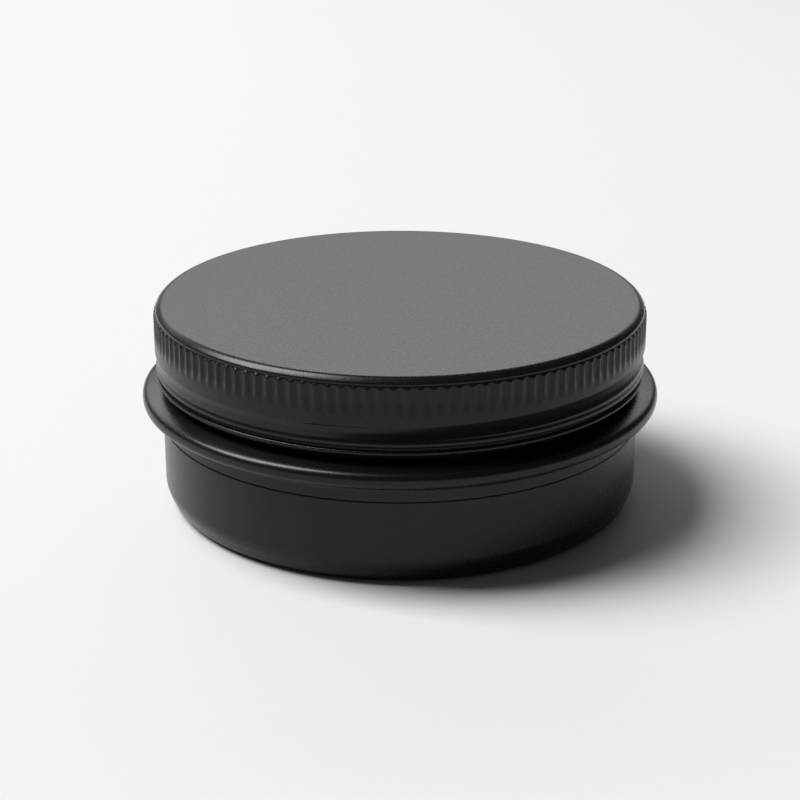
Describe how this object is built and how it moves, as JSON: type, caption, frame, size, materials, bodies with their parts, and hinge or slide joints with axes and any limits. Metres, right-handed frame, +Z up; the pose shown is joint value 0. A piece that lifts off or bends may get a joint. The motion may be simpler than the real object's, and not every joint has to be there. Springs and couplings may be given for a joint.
{
  "type": "candle tin",
  "caption": "Round screw-top aluminium candle tin with a knurled lid, a rolled neck flange, and a poured candle with wick inside.",
  "frame": {"origin": "centre of the base, on the surface that the tin stands on", "axes": "+Z up along the tin's axis, from the base towards the lid; the lid's thread run-out faces -Y, slightly towards -X"},
  "size_m": [0.068, 0.068, 0.0271],
  "materials": {
    "black_lacquer": "satin black lacquer on thin drawn aluminium, bare metal on the inside",
    "liner_foam": "white expanded polyethylene foam",
    "wax": "soft cream wax, slightly translucent",
    "wick_cotton": "braided cotton, primed with wax",
    "tab_steel": "tinned sheet steel",
    "sticker_foam": "white adhesive foam dot"
  },
  "bodies": {
    "tin": {"tin_body": "black_lacquer", "wax_fill": "wax", "wick": "wick_cotton", "wick_tab": "tab_steel", "wick_sticker": "sticker_foam"},
    "liner": {"lid_liner": "liner_foam"},
    "lid": {"lid_shell": "black_lacquer"}
  },
  "joints": [
    {"name": "lid_rise", "type": "slide", "parent": "tin", "child": "liner", "axis": [0, 0, 1], "range_m": [0, 0.01921]},
    {"name": "lid_turn", "type": "hinge", "parent": "liner", "child": "lid", "pos_m": [0, 0, 0.0271], "axis": [0, 0, 1], "range_deg": [0, 2880]}
  ],
  "couplings": [
    {"joint": "lid_rise", "follows": "lid_turn", "m_per_rad": 0.00038197}
  ]
}
